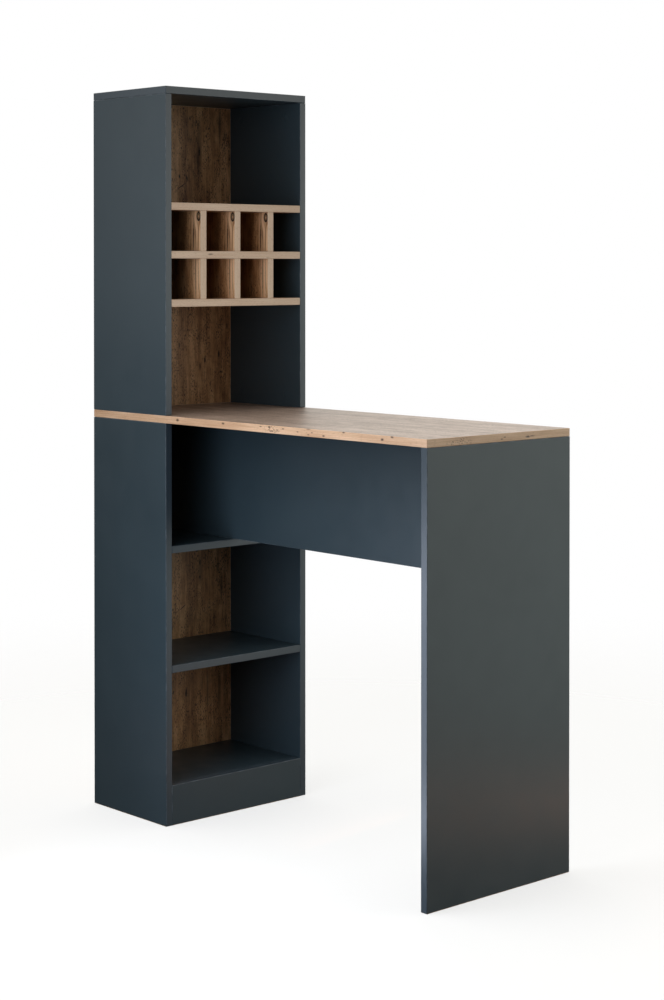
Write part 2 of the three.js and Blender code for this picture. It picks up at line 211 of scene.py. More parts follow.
def softbox(name, place, aim, size, watts, colour):
    """A rectangular softbox at a place, turned to face its aim. Its size is its width and its height."""
    light = bpy.data.lights.new(name, "AREA")
    light.shape = "RECTANGLE"
    light.size, light.size_y = size
    light.energy = watts
    light.color = paint(colour)[:3]
    lamp = bpy.data.objects.new(name, light)
    lamp.location = place
    facing = np.array(aim) - np.array(place)
    level = math.hypot(facing[0], facing[1])
    lamp.rotation_euler = (math.atan2(level, -facing[2]), 0.0, math.atan2(-facing[0], facing[1]))
    bpy.context.collection.objects.link(lamp)


softbox("window_softbox", (0.35, -1.5, 1.4), (0.35, 0.0, 1.1), (1.4, 1.5), 15.8, "eef3fb")
softbox("left_softbox", (-1.15, -1.3, 1.6), (-0.4, 0.0, 1.45), (1.0, 1.0), 2.8, "eaf0f4")
softbox("apron_softbox", (0.15, -0.95, 0.62), (0.45, 0.0, 0.92), (0.6, 0.3), 1.8, "e2ecff")
softbox("low_softbox", (0.0, -0.95, 0.28), (0.5, -0.2, 0.32), (0.6, 0.7), 4.3, "e2ecff")
softbox("sill_softbox", (0.22, -0.58, 0.05), (0.6, -0.22, 0.04), (0.4, 0.1), 0.6, "e2ecff")
softbox("right_softbox", (1.95, 1.25, 0.75), (0.6, 0.0, 0.7), (2.2, 2.0), 14.3, "ecf4ed")
softbox("corner_softbox", (2.4, 2.3, 2.0), (0.0, 0.0, 1.3), (2.0, 1.4), 9.5, "f8f4ea")
softbox("left_foot_softbox", (-0.5, -0.8, 0.05), (-0.45, -0.22, 0.12), (0.8, 0.08), 0.22, "e09c74")
softbox("plinth_softbox", (0.05, 0.1, 0.04), (-0.3, 0.05, 0.05), (0.4, 0.06), 0.05, "e09c74")
softbox("foot_softbox", (1.0, 0.36, 0.045), (0.6, 0.1, 0.06), (1.2, 0.08), 0.55, "e09c74")

# Lower cabinet sides: 18 mm chipboard faced with anthracite melamine, standing on the floor.
# Each is sawn to size, then its edges get a 1 mm ABS band that is glued on and scraped round.
BAND = 1.0e-3  # thickness of the edge band
EASE = 0.8e-3  # radius of its scraped edges
CORNER = 1.6e-3  # radius of the board's corners
GROOVE = 0.1e-3  # depth of the glue line
HOLD = 0.05e-3  # narrow strip beside a rounding, which keeps the flat next to it flat
SHARP_FROM = 32.0  # degrees between two faces from which their edge stays sharp
OTHER_FACE = 0.9  # how far across the decor a board's second face is cut from its first
RIM_MIDDLE = 9.9e-3  # the band's middle, measured across the rim
EDGE_HIGHLIGHT_FROM = 7.8e-3  # the painted highlight on the band's rounded edges starts and is full at these distances from the middle
EDGE_HIGHLIGHT_FULL = 8.8e-3

ANTHRACITE = "2b383f"
ANTHRACITE_LIGHT = "313f46"
# the band's grey is lighter than the board's: partly its own tone, partly painted light for the lit front
# edges
BAND_GREY = "343f47"
# pale grey of the painted highlight along the band's two rounded edges
BAND_EDGE_HIGHLIGHT = "6b757d"
CHIPBOARD = "b08f66"
CHIPBOARD_DARK = "6e5334"


def rim_profile(thickness):
    """The rim's section, as distances in from the outline and heights: from the glue line's groove out over
    a quarter circle to the band's flat, then the same mirrored in the board's middle."""
    turn = np.linspace(0.0, np.pi / 2.0, 5)
    arc = EASE * np.stack([1.0 - np.sin(turn), 1.0 - np.cos(turn)], axis=1)
    inside = [[BAND + 2 * GROOVE, 0.0], [BAND + GROOVE, GROOVE], [BAND, 0.0], [EASE + HOLD, 0.0]]
    lower = np.concatenate([inside, arc, [[0.0, EASE + HOLD]]])
    upper = lower[::-1] * [1.0, -1.0] + [0.0, thickness]
    return np.concatenate([lower, upper])


def board_surface(low, high, grain, sheet_place):
    """A board: its rim profile is carried round a rectangle with quarter-circle corners, where a point is a
    corner's centre plus the corner radius less the inset along the outward normal, and two flat faces close
    it. The decor map holds metres along the grain and across it on the faces, and along the band and
    across it on the rim."""
    low, high = np.array(low), np.array(high)
    thin = int(np.argmin(high - low))
    first, second = (thin + 1) % 3, (thin + 2) % 3
    profile = rim_profile(high[thin] - low[thin])
    turn = np.radians([0.0, 0.0, 30.0, 60.0, 90.0, 90.0])
    slip = np.tile(HOLD * np.array([-1.0, 0.0, 0.0, 0.0, 0.0, 1.0]), 4)
    angle = (np.radians([[0.0], [90.0], [180.0], [270.0]]) + turn).ravel()
    outward = np.stack([np.cos(angle), np.sin(angle)], axis=1)
    forward = np.stack([-np.sin(angle), np.cos(angle)], axis=1)
    half = (high - low)[[first, second]] / 2.0
    quarter = np.array([[1.0, 1.0], [-1.0, 1.0], [-1.0, -1.0], [1.0, -1.0]])
    centre = np.repeat(quarter * (half - CORNER), 6, axis=0) + slip[:, None] * forward
    rows, columns = len(profile), len(angle)
    points = np.zeros((rows, columns, 3))
    plan = centre + (CORNER - profile[:, 0])[:, None, None] * outward
    points[..., first] = plan[..., 0] + (low + high)[first] / 2.0
    points[..., second] = plan[..., 1] + (low + high)[second] / 2.0
    points[..., thin] = low[thin] + profile[:, 1][:, None]

    row, column = np.meshgrid(np.arange(rows - 1), np.arange(columns), indexing="ij")
    following = (column + 1) % columns
    corners = [row * columns + column, row * columns + following]
    corners += [(row + 1) * columns + following, (row + 1) * columns + column]
    rim = np.stack(corners, axis=-1).reshape(-1, 4)
    ring = np.arange(columns)
    faces = rim.tolist() + [ring[::-1].tolist(), (ring + (rows - 1) * columns).tolist()]

    outline = centre + CORNER * outward
    steps = np.linalg.norm(np.roll(outline, -1, axis=0) - outline, axis=1)
    along = np.concatenate([[0.0], np.cumsum(steps)])
    across = np.concatenate([[0.0], np.cumsum(np.linalg.norm(np.diff(profile, axis=0), axis=1))])
    run = np.stack([along[column], along[column + 1], along[column + 1], along[column]], axis=-1)
    rise = np.stack([across[row], across[row], across[row + 1], across[row + 1]], axis=-1)
    rim_map = np.stack([run, rise], axis=-1).reshape(-1, 2)
    rim_map = rim_map + [sheet_place[0], 0.0]
    side = first + second - grain
    faces_map = [points[0, ::-1][:, [grain, side]], points[-1][:, [grain, side]] + [0.0, OTHER_FACE]]
    decor = np.concatenate([rim_map, *(face + sheet_place for face in faces_map)])
    facing = outward[column.ravel()]
    straight = np.isclose(np.abs(facing).max(axis=1), 1.0) & (steps[column.ravel()] > 2 * CORNER)
    downward = np.zeros(len(rim), bool)
    if 2 in (first, second):
        downward = straight & (facing[:, (first, second).index(2)] < -0.5)
    return points.reshape(-1, 3), faces, decor, downward


def make_board(node, low, high, finishes, grain=2, sheet_place=(0.0, 0.0), raw_foot=False):
    """One board as a piece in place of its CAD node. Its finishes are for the faces, the band and a bare
    edge."""
    points, faces, decor, downward = board_surface(low, high, grain, sheet_place)
    mesh = bpy.data.meshes.new(node + "_board")
    mesh.from_pydata(points.tolist(), [], faces)
    sheet = mesh.uv_layers.new(name="decor")
    sheet.data.foreach_set("uv", decor.ravel())
    finish = np.ones(len(faces), np.int32)
    finish[-2:] = 0
    if raw_foot:
        finish[: len(downward)][downward] = 2
    mesh.polygons.foreach_set("material_index", finish)
    mesh.polygons.foreach_set("use_smooth", np.ones(len(faces), bool))
    mesh.set_sharp_from_angle(angle=math.radians(SHARP_FROM))
    for finish_material in finishes:
        mesh.materials.append(finish_material)
    piece = bpy.data.objects.new(node + "_board", mesh)
    bpy.context.collection.objects.link(piece)
    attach(piece, "root")
    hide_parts(node)
    return piece


# Melamine-faced board in anthracite: printed paper soaked in resin and pressed hot against a fine pearl
# plate, so it is hard and satin, and breaks up reflections a little.
anthracite_face, tree = new_material("anthracite_melamine")
place = add_node(tree, "TexCoord").outputs["Object"]
clouds = add_node(tree, "TexNoise", {"Vector": place, "Scale": 1.0 / 0.16, "Detail": 3.0})
tint = add_node(
    tree, "MixRGB", {"Fac": clouds, "Color1": paint(ANTHRACITE), "Color2": paint(ANTHRACITE_LIGHT)}
)
smudges = add_node(tree, "TexNoise", {"Vector": place, "Scale": 1.0 / 0.05, "Detail": 4.0})
satin = add_node(
    tree,
    "MapRange",
    {"Value": smudges, "From Min": 0.3, "From Max": 0.7, "To Min": 0.36, "To Max": 0.44},
)
pearl = add_node(tree, "TexNoise", {"Vector": place, "Scale": 1.0 / 0.0012, "Detail": 1.0})
relief = add_node(tree, "Bump", {"Height": pearl, "Strength": 0.12, "Distance": 0.0002})
shader = add_node(
    tree, "BsdfPrincipled", {"Base Color": tint, "Roughness": satin, "Normal": relief, "IOR": 1.5}
)
add_node(tree, "OutputMaterial", {"Surface": shader})

# ABS edge band in the same grey: smooth extruded plastic, a little lighter and glossier than the board,
# the lighter grey partly painted light. Along its two rounded edges it is paler still: a painted
# highlight, broken up by noise.
anthracite_band, tree = new_material("anthracite_abs_edge_band")
sheet = add_node(tree, "UVMap", uv_map="decor")
across = add_node(tree, "SeparateXYZ", {0: sheet}).outputs["Y"]
from_middle = add_node(tree, "Math", {0: across, 1: RIM_MIDDLE}, operation="SUBTRACT")
from_middle = add_node(tree, "Math", {0: from_middle}, operation="ABSOLUTE")
at_edge = add_node(
    tree, "MapRange", {"Value": from_middle, "From Min": EDGE_HIGHLIGHT_FROM, "From Max": EDGE_HIGHLIGHT_FULL}
)
place = add_node(tree, "TexCoord").outputs["Object"]
highlight_breakup = add_node(tree, "TexNoise", {"Vector": place, "Scale": 1.0 / 0.025, "Detail": 5.0})
highlight_breakup = add_node(tree, "MapRange", {"Value": highlight_breakup, "From Min": 0.45, "From Max": 0.75})
# painted highlight: paler along the band's two rounded edges, broken up by noise
edge_highlight = add_node(tree, "Math", {0: at_edge, 1: highlight_breakup}, operation="MULTIPLY")
tint = add_node(tree, "MixRGB", {"Fac": edge_highlight, "Color1": paint(BAND_GREY), "Color2": paint(BAND_EDGE_HIGHLIGHT)})
shader = add_node(tree, "BsdfPrincipled", {"Base Color": tint, "Roughness": 0.34, "IOR": 1.53})
add_node(tree, "OutputMaterial", {"Surface": shader})

# Bare chipboard: pressed softwood chips of 1 to 4 mm in glue, where an edge has no band.
bare_chipboard, tree = new_material("bare_chipboard_edge")
place = add_node(tree, "TexCoord").outputs["Object"]
chips = add_node(tree, "TexVoronoi", {"Vector": place, "Scale": 1.0 / 0.0025})
shade = add_node(tree, "SeparateXYZ", {0: chips.outputs["Color"]}).outputs["X"]
tint = add_node(
    tree, "MixRGB", {"Fac": shade, "Color1": paint(CHIPBOARD_DARK), "Color2": paint(CHIPBOARD)}
)
relief = add_node(tree, "Bump", {"Height": shade, "Strength": 0.5, "Distance": 0.0004})
shader = add_node(tree, "BsdfPrincipled", {"Base Color": tint, "Roughness": 0.85, "Normal": relief})
add_node(tree, "OutputMaterial", {"Surface": shader})

BOARD = 0.018
COUNTER_END = 0.6
COUNTER_HALF = 0.225
INNER_HALF = COUNTER_HALF - BOARD
CABINET_REAR = -0.6
CABINET_FRONT = -0.3
WORKTOP_UNDERSIDE = 0.982
JOINT = 0.4e-3
anthracite = (anthracite_face, anthracite_band, bare_chipboard)

make_board(
    "left_lower_side",
    (CABINET_REAR, -COUNTER_HALF, 0.0),
    (CABINET_FRONT, -INNER_HALF, WORKTOP_UNDERSIDE - JOINT),
    anthracite,
    raw_foot=True,
)
make_board(
    "right_lower_side",
    (CABINET_REAR, INNER_HALF, 0.0),
    (CABINET_FRONT, COUNTER_HALF, WORKTOP_UNDERSIDE - JOINT),
    anthracite,
    raw_foot=True,
)

# Plinth, bottom panel and the two shelves of the lower cabinet: the same anthracite board.
# They are dowelled between the sides, and the fixed shelf is also drawn up by cam bolts.
PLINTH_TOP = 0.098
SHELF_REAR = CABINET_REAR + BOARD
SHELF_LEVELS = {"middle_shelf": 0.372, "fixed_shelf": 0.664}

make_board(
    "plinth",
    (CABINET_FRONT - BOARD, -INNER_HALF, 0.0),
    (CABINET_FRONT, INNER_HALF, PLINTH_TOP),
    anthracite,
    raw_foot=True,
)
make_board(
    "bottom_panel",
    (SHELF_REAR, -INNER_HALF, PLINTH_TOP - BOARD),
    (CABINET_FRONT - BOARD, INNER_HALF, PLINTH_TOP),
    anthracite,
    grain=1,
)
for shelf, level in SHELF_LEVELS.items():
    make_board(
        shelf,
        (SHELF_REAR, -INNER_HALF, level),
        (CABINET_FRONT, INNER_HALF, level + BOARD),
        anthracite,
        grain=1,
    )

# Lower back panel: chipboard with a printed rustic oak decor on both faces, grain upright.
# It is let in between the sides and dowelled to them.
OAK_LIGHT = "dcab7d"
OAK_MID = "b4855a"
OAK_DARK = "7c5234"
OAK_DEEP = "180d06"
OAK_BAND_LIGHT = "d3b89e"
OAK_BAND_MID = "c7a78b"
OAK_BAND_DARK = "94745a"
OAK_KNOT = "422a19"

# Rustic oak decor: a photograph of sawn oak, printed on paper and pressed with melamine under a plate that
# has the pores in it. Faint streaks run along the grain, dark pore flecks come in crowds, and there are
# checks and small knots. Each divider is also paler, in streaks, along its front edge, fading out 50 mm
# back.
# Sizes are millimetres along and across the grain; the flecks are drawn about three times as coarse as real
# pores, so that they show.
UPPER_DIVIDER_SHEET = (12.3, 3.0)
LOWER_DIVIDER_SHEET = (11.0, 3.0)
FRONT_STRIP_AT = UPPER_DIVIDER_SHEET[1] - 0.298  # the strip's middle, in metres across the decor
FRONT_STRIP_HALF = 0.050
# The ringed knot: its place along and across the decor, half length and half width, in metres.
EYE_KNOT = (UPPER_DIVIDER_SHEET[0] + 1.486, UPPER_DIVIDER_SHEET[1] - 0.3085, 0.0125, 0.0085)
OAK_FRONT_STRIP = "eabf95"

# Knots, cracks and dark streaks that stand out on a face, and on the dividers a broad patch of painted
# shade:
# height above the floor and place across it in millimetres, half length, half width, degrees off the grain,
# depth of the brown.
LOWER_BACK_SHEET = (0.37, 0.21)
LOWER_BACK_MARKS = (
    (583, 102, 11, 3.0, 0, 1.0),
    (560, 102, 40, 7.0, 0, 0.5),
    (543, 102, 8, 2.5, 0, 1.0),
    (470, 45, 14, 1.4, 58, 1.0),
    (507, 174, 40, 4.0, 0, 0.6),
    (244, 56, 13, 3.5, 0, 0.9),
    (250, 13, 6, 3.0, 0, 0.9),
    (241, 127, 60, 4.0, 0, 0.5),
    (236, 166, 60, 5.0, 0, 0.5),
)
UPPER_BACK_SHEET = (5.9, 0.6)
UPPER_BACK_MARKS = (
    (1665, 101, 16, 3.2, 0, 1.0),
    (1670, 101, 80, 10.0, 0, 0.5),
    (1597, 35, 6, 3.0, 0, 1.0),
    (1572, 42, 19, 1.3, 59, 1.0),
    (1593, 60, 9, 2.2, -15, 1.0),
    (1730, 170, 50, 5.0, 0, 0.6),
    (1116, 119, 10, 3.2, 0, 1.0),
    (1131, 166, 11, 3.2, 0, 1.0),
    (1100, 103, 12, 2.5, 0, 0.9),
    (1053, 137, 8, 2.2, 0, 0.9),
    (1156, 34, 10, 3.0, 0, 0.8),
    (1204, 194, 9, 2.5, 0, 0.9),
)
UPPER_DIVIDER_MARKS_AND_SHADE = (
    (1436, -329, 46, 2.2, 1, 0.95),
    # painted shade: a broad dark stripe down the divider's visible face, behind its lit front
    (1440, -385, 220, 34.0, 0, 0.55),
)
LOWER_DIVIDER_MARKS_AND_SHADE = (
    (1336, -310, 70, 1.3, 0, 0.6),
    (1340, -321, 70, 1.8, 0.5, 0.7),
    # painted shade: a broad dark stripe down the divider's visible face, behind its lit front
    (1335, -385, 220, 34.0, 0, 0.6),
)


def face_marks(marks, along, across):
    """Marks of a board's face, moved from the counter's millimetres to the decor's metres."""
    marks = np.array(marks, float)
    marks[:, :4] /= 1e3
    marks[:, :2] += [along, across]
    return [tuple(mark) for mark in marks.tolist()]


def rustic_oak(name, tones, deep, known_marks):
    """The decor as a material: tones are its dark, middle and light browns, deep the brown of pores
    and checks, and known_marks its knots and cracks, and on the dividers broad patches of painted shade."""
    material, tree = new_material(name)
    sheet = add_node(tree, "UVMap", uv_map="decor")
    waves = add_node(tree, "Mapping", {"Vector": sheet, "Scale": (1 / 0.25, 1 / 0.08, 1.0)})
    waves = add_node(tree, "TexNoise", {"Vector": waves, "Scale": 1.0, "Detail": 2.0})
    sway = add_node(tree, "MapRange", {"Value": waves, "To Min": -0.010, "To Max": 0.010})
    sway = add_node(tree, "CombineXYZ", {"Y": sway})
    from_eye = add_node(
        tree, "VectorMath", {0: sheet, 1: (*EYE_KNOT[:2], 0.0)}, operation="SUBTRACT"
    )
    eye = add_node(
        tree, "VectorMath", {0: from_eye, 1: (1 / EYE_KNOT[2], 1 / EYE_KNOT[3], 0.0)}, operation="MULTIPLY"
    )
    eye = add_node(tree, "VectorMath", {0: eye}, operation="LENGTH").outputs["Value"]
    near_eye = add_node(
        tree,
        "MapRange",
        {"Value": eye, "From Min": 0.6, "From Max": 3.5, "To Min": -0.8, "To Max": 0.0},
        interpolation_type="SMOOTHSTEP",
    )
    bow = add_node(tree, "VectorMath", {0: from_eye, "Scale": near_eye}, operation="SCALE")
    bow = add_node(tree, "VectorMath", {0: bow, 1: (0.0, 1.0, 0.0)}, operation="MULTIPLY")
    grain = add_node(tree, "VectorMath", {0: sheet, 1: sway}, operation="ADD")
    grain = add_node(tree, "VectorMath", {0: grain, 1: bow}, operation="ADD")
    layers = {}
    for layer, length, width, detail in (
        ("figure", 600.0, 48.0, 3.0),
        ("streak", 170.0, 6.5, 4.0),
        ("fibre", 34.0, 1.6, 3.0),
        ("mottle", 45.0, 22.0, 4.0),
        ("fleck", 7.0, 2.6, 2.0),
        ("cluster", 85.0, 26.0, 3.0),
        ("check", 48.0, 10.0, 3.0),
        ("split", 130.0, 60.0, 2.0),
    ):
        stretched = add_node(
            tree, "Mapping", {"Vector": grain, "Scale": (1e3 / length, 1e3 / width, 1.0)}
        )
        layers[layer] = add_node(
            tree, "TexNoise", {"Vector": stretched, "Scale": 1.0, "Detail": detail, "Roughness": 0.62}
        )
    tone = add_node(tree, "Math", {0: layers["figure"], 1: 0.34}, operation="MULTIPLY")
    for layer, share in (("streak", 0.26), ("fibre", 0.16), ("mottle", 0.24)):
        tone = add_node(tree, "Math", {0: layers[layer], 1: share, 2: tone}, operation="MULTIPLY_ADD")
    oak_tones = [(at, paint(colour)) for at, colour in zip((0.40, 0.49, 0.58), tones)]
    tint = add_node(tree, "ValToRGB", {"Fac": tone}, ramp=oak_tones)

    # a pale streaky strip along each divider's front edge, fading out 50 mm back, with fewer pores in it
    across = add_node(tree, "SeparateXYZ", {0: grain}).outputs["Y"]
    from_front_strip = add_node(tree, "Math", {0: across, 1: FRONT_STRIP_AT}, operation="SUBTRACT")
    from_front_strip = add_node(tree, "Math", {0: from_front_strip}, operation="ABSOLUTE")
    front_strip = add_node(
        tree,
        "MapRange",
        {"Value": from_front_strip, "From Min": 0.014, "From Max": FRONT_STRIP_HALF, "To Min": 1.0, "To Max": 0.0},
        interpolation_type="SMOOTHSTEP",
    )
    stripes = add_node(tree, "MapRange", {"Value": layers["streak"], "From Min": 0.38, "From Max": 0.52})
    pale = add_node(tree, "Math", {0: front_strip, 1: stripes}, operation="MULTIPLY")
    tint = add_node(tree, "MixRGB", {"Fac": pale, "Color1": tint, "Color2": paint(OAK_FRONT_STRIP)})
    few_pores = add_node(tree, "MapRange", {"Value": front_strip, "To Min": 1.0, "To Max": 0.15})

    pores = add_node(tree, "MapRange", {"Value": layers["fleck"], "From Min": 0.525, "From Max": 0.59})
    crowd = add_node(
        tree, "MapRange", {"Value": layers["cluster"], "From Min": 0.44, "From Max": 0.58, "To Min": 0.2}
    )
    pores = add_node(tree, "Math", {0: pores, 1: crowd}, operation="MULTIPLY")
    pores = add_node(tree, "Math", {0: pores, 1: few_pores}, operation="MULTIPLY")
    seam = add_node(tree, "Math", {0: layers["check"], 1: 0.5}, operation="SUBTRACT")
    seam = add_node(tree, "Math", {0: seam}, operation="ABSOLUTE")
    seam = add_node(
        tree, "MapRange", {"Value": seam, "From Min": 0.004, "From Max": 0.03, "To Min": 1.0, "To Max": 0.0}
    )
    opening = add_node(tree, "MapRange", {"Value": layers["split"], "From Min": 0.58, "From Max": 0.66})
    checks = add_node(tree, "Math", {0: seam, 1: opening}, operation="MULTIPLY")
    marks = add_node(tree, "Math", {0: pores, 1: 0.92}, operation="MULTIPLY")
    marks = add_node(tree, "Math", {0: marks, 1: checks}, operation="MAXIMUM")
    wobble = add_node(tree, "MapRange", {"Value": layers["fleck"], "To Min": -0.7, "To Max": 0.7})
    # known marks: knots and cracks, and on the dividers broad patches of painted shade
    for along_at, across_at, half_length, half_width, turn, full in known_marks:
        spot = add_node(
            tree, "VectorMath", {0: sheet, 1: (along_at, across_at, 0.0)}, operation="SUBTRACT"
        )
        spot = add_node(
            tree, "VectorRotate", {"Vector": spot, "Angle": math.radians(-turn)}, rotation_type="Z_AXIS"
        )
        spot = add_node(
            tree, "VectorMath", {0: spot, 1: (1 / half_length, 1 / half_width, 0.0)}, operation="MULTIPLY"
        )
        spot = add_node(tree, "VectorMath", {0: spot}, operation="LENGTH").outputs["Value"]
        spot = add_node(tree, "Math", {0: spot, 1: wobble}, operation="ADD")
        spot = add_node(
            tree,
            "MapRange",
            {"Value": spot, "From Min": 0.5, "From Max": 1.1, "To Min": full, "To Max": 0.0},
        )
        marks = add_node(tree, "Math", {0: marks, 1: spot}, operation="MAXIMUM")
    rings = add_node(tree, "Math", {0: wobble, 1: 0.25, 2: eye}, operation="MULTIPLY_ADD")
    eye_rings = ((0.0, 0.2), (0.18, 0.3), (0.32, 0.8), (0.5, 0.6), (0.68, 1.0), (0.9, 1.0), (1.0, 0.0))
    eye_rings = [(at, (depth, depth, depth, 1.0)) for at, depth in eye_rings]
    rings = add_node(tree, "ValToRGB", {"Fac": rings}, ramp=eye_rings)
    marks = add_node(tree, "Math", {0: marks, 1: rings}, operation="MAXIMUM")
    tint = add_node(tree, "MixRGB", {"Fac": marks, "Color1": tint, "Color2": paint(deep)})
    satin = add_node(
        tree,
        "MapRange",
        {"Value": tone, "From Min": 0.35, "From Max": 0.6, "To Min": 0.46, "To Max": 0.34},
    )
    depth = add_node(tree, "Math", {0: tone, 1: marks}, operation="SUBTRACT")
    relief = add_node(tree, "Bump", {"Height": depth, "Strength": 0.25, "Distance": 0.0004})
    shader = add_node(
        tree, "BsdfPrincipled", {"Base Color": tint, "Roughness": satin, "Normal": relief, "IOR": 1.5}
    )
    add_node(tree, "OutputMaterial", {"Surface": shader})
    return material


oak_marks = face_marks(LOWER_BACK_MARKS, LOWER_BACK_SHEET[0], LOWER_BACK_SHEET[1] + OTHER_FACE)
oak_marks += face_marks(UPPER_BACK_MARKS, UPPER_BACK_SHEET[0], UPPER_BACK_SHEET[1] + OTHER_FACE)
oak_marks += face_marks(UPPER_DIVIDER_MARKS_AND_SHADE, *UPPER_DIVIDER_SHEET)
oak_marks += face_marks(LOWER_DIVIDER_MARKS_AND_SHADE, *LOWER_DIVIDER_SHEET)
oak_face = rustic_oak("rustic_oak_melamine", (OAK_DARK, OAK_MID, OAK_LIGHT), OAK_DEEP, oak_marks)


# Oak decor edge band: printed ABS, paler than the face, with fine lines along it and dark knots.
def oak_edge(name, tones, knots, specks):
    """The band as a material: tones are its dark, middle and light browns, knots the places of its dark
    knots with their half sizes in millimetres, and specks the same for patches of fine specks."""
    material, tree = new_material(name)
    sheet = add_node(tree, "UVMap", uv_map="decor")
    layers = {}
    for layer, length, width, detail in (
        ("line", 120.0, 2.5, 3.0),
        ("shade", 240.0, 30.0, 2.0),
        ("fleck", 9.0, 1.2, 1.0),
    ):
        stretched = add_node(
            tree, "Mapping", {"Vector": sheet, "Scale": (1e3 / length, 1e3 / width, 1.0)}
        )
        layers[layer] = add_node(
            tree, "TexNoise", {"Vector": stretched, "Scale": 1.0, "Detail": detail, "Roughness": 0.6}
        )
    tone = add_node(tree, "Math", {0: layers["line"], 1: layers["shade"]}, operation="ADD")
    tone = add_node(tree, "MapRange", {"Value": tone, "From Min": 0.75, "From Max": 1.2})
    tint = add_node(
        tree, "MixRGB", {"Fac": tone, "Color1": paint(tones[1]), "Color2": paint(tones[2])}
    )
    pores = add_node(
        tree, "MapRange", {"Value": layers["fleck"], "From Min": 0.6, "From Max": 0.72, "To Max": 0.6}
    )
    tint = add_node(tree, "MixRGB", {"Fac": pores, "Color1": tint, "Color2": paint(tones[0])})
    small = add_node(tree, "Mapping", {"Vector": sheet, "Scale": (1 / 0.11, 1 / 0.028, 1.0)})
    small = add_node(tree, "TexVoronoi", {"Vector": small, "Scale": 1.0})
    spots = add_node(
        tree, "MapRange", {"Value": small, "From Min": 0.03, "From Max": 0.10, "To Min": 0.7, "To Max": 0.0}
    )
    place = add_node(tree, "TexCoord").outputs["Object"]
    wobble = add_node(tree, "MapRange", {"Value": layers["fleck"], "To Min": -0.6, "To Max": 0.6})
    dots = add_node(tree, "Mapping", {"Vector": place, "Scale": (1e3 / 5.0, 1e3 / 5.0, 1e3 / 2.6)})
    dots = add_node(tree, "TexVoronoi", {"Vector": dots, "Scale": 1.0})
    dots = add_node(
        tree, "MapRange", {"Value": dots, "From Min": 0.22, "From Max": 0.42, "To Min": 1.0, "To Max": 0.0}
    )
    for number, (knot_x, knot_y, knot_z, half_length, half_height) in enumerate([*knots, *specks]):
        spot = add_node(
            tree, "VectorMath", {0: place, 1: (knot_x, knot_y, knot_z)}, operation="SUBTRACT"
        )
        shrink = (1e3 / half_length, 1e3 / half_length, 1e3 / half_height)
        spot = add_node(tree, "VectorMath", {0: spot, 1: shrink}, operation="MULTIPLY")
        spot = add_node(tree, "VectorMath", {0: spot}, operation="LENGTH").outputs["Value"]
        spot = add_node(tree, "Math", {0: spot, 1: wobble}, operation="ADD")
        spot = add_node(
            tree,
            "MapRange",
            {"Value": spot, "From Min": 0.5, "From Max": 1.2, "To Min": 0.95, "To Max": 0.0},
        )
        if number >= len(knots):
            spot = add_node(tree, "Math", {0: spot, 1: dots}, operation="MULTIPLY")
        spots = add_node(tree, "Math", {0: spots, 1: spot}, operation="MAXIMUM")
    tint = add_node(tree, "MixRGB", {"Fac": spots, "Color1": tint, "Color2": paint(OAK_KNOT)})
    shader = add_node(tree, "BsdfPrincipled", {"Base Color": tint, "Roughness": 0.45, "IOR": 1.53})
    add_node(tree, "OutputMaterial", {"Surface": shader})
    return material


oak_band = oak_edge("oak_abs_edge_band", (OAK_BAND_DARK, OAK_BAND_MID, OAK_BAND_LIGHT), (), ())
oak = (oak_face, oak_band, bare_chipboard)
make_board(
    "lower_back_panel",
    (CABINET_REAR, -INNER_HALF, 0.0),
    (SHELF_REAR, INNER_HALF, WORKTOP_UNDERSIDE),
    oak,
    sheet_place=LOWER_BACK_SHEET,
    raw_foot=True,
)

# Worktop: one board of the same oak decor, grain lengthwise, with pale oak band on all four edges.
# It lies on the lower cabinet and the end panel, and the upper cabinet stands on it. Its laminate is
# paler and greyer than the cabinet's oak faces, with less contrast in the grain; the pale grey is partly
# the laminate's own tone and partly painted reflection of the bright room, seen across the top at a grazing
# angle.
WORKTOP_TOP = WORKTOP_UNDERSIDE + BOARD
# paler, greyer tones: partly the laminate's own, partly painted reflection of the bright room
WORKTOP_LIGHT = "baa394"
WORKTOP_MID = "a48d7d"
WORKTOP_DARK = "806b5b"
WORKTOP_DEEP = "584334"
WORKTOP_BAND_LIGHT = "d7b392"
WORKTOP_BAND_MID = "b9916f"
WORKTOP_SHEET = (3.1, 1.4)

# Dark knots of the worktop's band, and patches of fine specks: place along the edge and height in
# millimetres, half length, half height.
NEAR_EDGE_KNOTS = (
    (-254, 992.5, 6.0, 3.5),
    (-80, 994.5, 5.0, 2.6),
    (57, 995.5, 4.5, 1.2),
    (87.5, 996, 5.0, 2.4),
    (98, 987, 4.5, 1.6),
    (136, 994.5, 4.5, 1.4),
    (186, 990.8, 3.5, 1.1),
    (223, 986.6, 4.0, 1.2),
    (235, 991.7, 3.5, 1.1),
    (274, 987, 4.5, 1.8),
    (340, 998.4, 4.5, 1.6),
    (463, 991, 5.0, 3.0),
    (494, 998, 5.0, 2.2),
)
END_EDGE_KNOTS = (
    (3, 987.6, 4.0, 1.2),
    (12, 991.5, 4.0, 1.0),
    (86, 988.5, 7.0, 2.6),
    (100, 989.5, 9.0, 1.2),
)
NEAR_EDGE_SPECKS = (
    (98, 990.5, 30.0, 10.0),
)
END_EDGE_SPECKS = (
    (-116, 989.5, 26.0, 11.0),
    (-152, 987.2, 16.0, 5.0),
)


def edge_spots(near_edge, end_edge):
    """Spots of the worktop's near edge and end edge as places in metres and half sizes in millimetres."""
    near = [(x / 1e3, -COUNTER_HALF, z / 1e3, *sizes) for x, z, *sizes in near_edge]
    return near + [(COUNTER_END, y / 1e3, z / 1e3, *sizes) for y, z, *sizes in end_edge]


